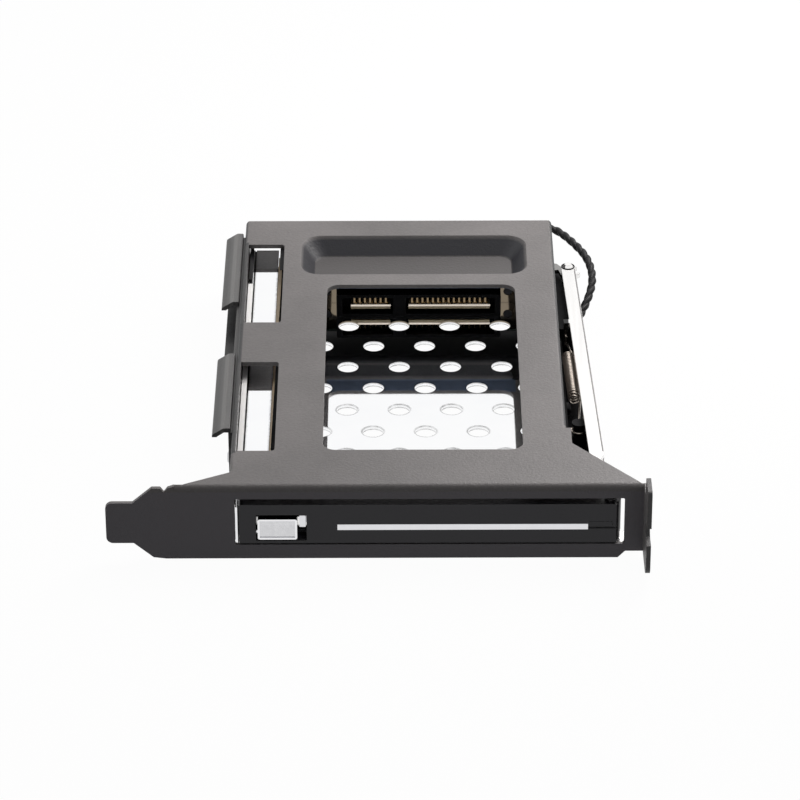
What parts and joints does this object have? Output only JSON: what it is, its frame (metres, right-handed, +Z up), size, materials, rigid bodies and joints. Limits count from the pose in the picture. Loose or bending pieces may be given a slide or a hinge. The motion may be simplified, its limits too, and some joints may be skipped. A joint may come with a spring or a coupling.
{
  "type": "hot swap drive cage",
  "caption": "Slot-mounted drive cage: folded cover with flanged tray, hinged front door with push latch, pull link, ejector lever and rear drive connector.",
  "frame": {"origin": "bottom centre of the cover's bounding box, cable left out", "axes": "+X from the tongue's tip to the flange end of the bracket, +Y from the bracket face to the rear connector, +Z up through the cover's top"},
  "size_m": [0.1194, 0.1509, 0.0233],
  "materials": {
    "plate": "satin fine-texture powder coat, dark grey",
    "tray": "bright polished sheet",
    "rail": "dull zinc-plated sheet",
    "rivet": "plain rivet",
    "rubber": "matt black strip",
    "black_plastic": "moulded black",
    "cream_plastic": "natural nylon",
    "gold": "gold-plated contacts",
    "board": "dark solder-masked laminate",
    "chip": "black epoxy",
    "door": "black satin",
    "liner": "moulded black",
    "chrome": "bright plate",
    "cap": "pale grey",
    "strip": "brushed",
    "steel": "bright strip",
    "spring": "spring wire",
    "led": "clear lens",
    "cable": "black insulated pair"
  },
  "bodies": {
    "cage": {"bracket_cover": "plate", "drive_tray": "tray", "left_rail": "rail", "rail_rivets": "rivet", "flange_buffer": "rubber", "sata_receptacle": "black_plastic", "receptacle_tongues": "cream_plastic", "receptacle_contacts": "gold", "rear_board": "board", "board_screws": "door", "rear_plug": "black_plastic", "rear_plug_tongues": "black_plastic", "rear_plug_contacts": "gold", "cable_header": "cream_plastic", "cable_plug": "cream_plastic", "board_parts": "chip", "hinge_bracket": "steel", "hinge_pin": "steel", "hinge_spacer": "liner", "lever_post": "steel", "side_guide": "black_plastic", "guide_screws": "door", "spring_post": "black_plastic", "eject_spring": "spring", "led_board": "board", "led_socket": "cream_plastic", "status_led": "led", "signal_cable": "cable", "cable_clips": "black_plastic"},
    "door": {"door_panel": "door", "light_strip": "strip", "door_liner": "liner", "crank_pin": "steel", "button_springs": "spring", "latch_spring": "spring"},
    "button": {"button_frame": "chrome", "button_cap": "cap"},
    "latch": {"latch_bolt": "steel"},
    "lock": {"lock_slider": "strip"},
    "link": {"eject_link": "steel", "link_rivet": "steel"},
    "lever": {"ejector_lever": "steel"}
  },
  "joints": [
    {"name": "door_swing", "type": "hinge", "parent": "cage", "child": "door", "pos_m": [0.0515, -0.05493, 0.009], "axis": [0, 0, 1], "range_deg": [0, 90]},
    {"name": "eject_slide", "type": "slide", "parent": "cage", "child": "link", "axis": [0.0349, -0.9994, 0], "range_m": [0, 0.00848], "deforming": ["eject_spring"]},
    {"name": "lever_swing", "type": "hinge", "parent": "cage", "child": "lever", "pos_m": [0.0363, 0.04967, 0.0122], "axis": [0, 0, 1], "range_deg": [-45, 0]},
    {"name": "button_press", "type": "slide", "parent": "door", "child": "button", "axis": [0, 1, 0], "range_m": [0, 0.0012], "stiffness_N_per_m": 400, "springref_m": -0.0006, "deforming": ["button_springs"]},
    {"name": "latch_slide", "type": "slide", "parent": "door", "child": "latch", "axis": [1, 0, 0], "range_m": [0, 0.0012], "deforming": ["latch_spring"]},
    {"name": "lock_slide", "type": "slide", "parent": "door", "child": "lock", "axis": [0, 0, -1], "range_m": [0, 0.0024]}
  ],
  "couplings": [
    {"joint": "eject_slide", "follows": "door_swing", "m_per_rad": 0.0053986},
    {"joint": "lever_swing", "follows": "door_swing", "ratio": -0.5},
    {"joint": "latch_slide", "follows": "button_press", "ratio": 1}
  ]
}
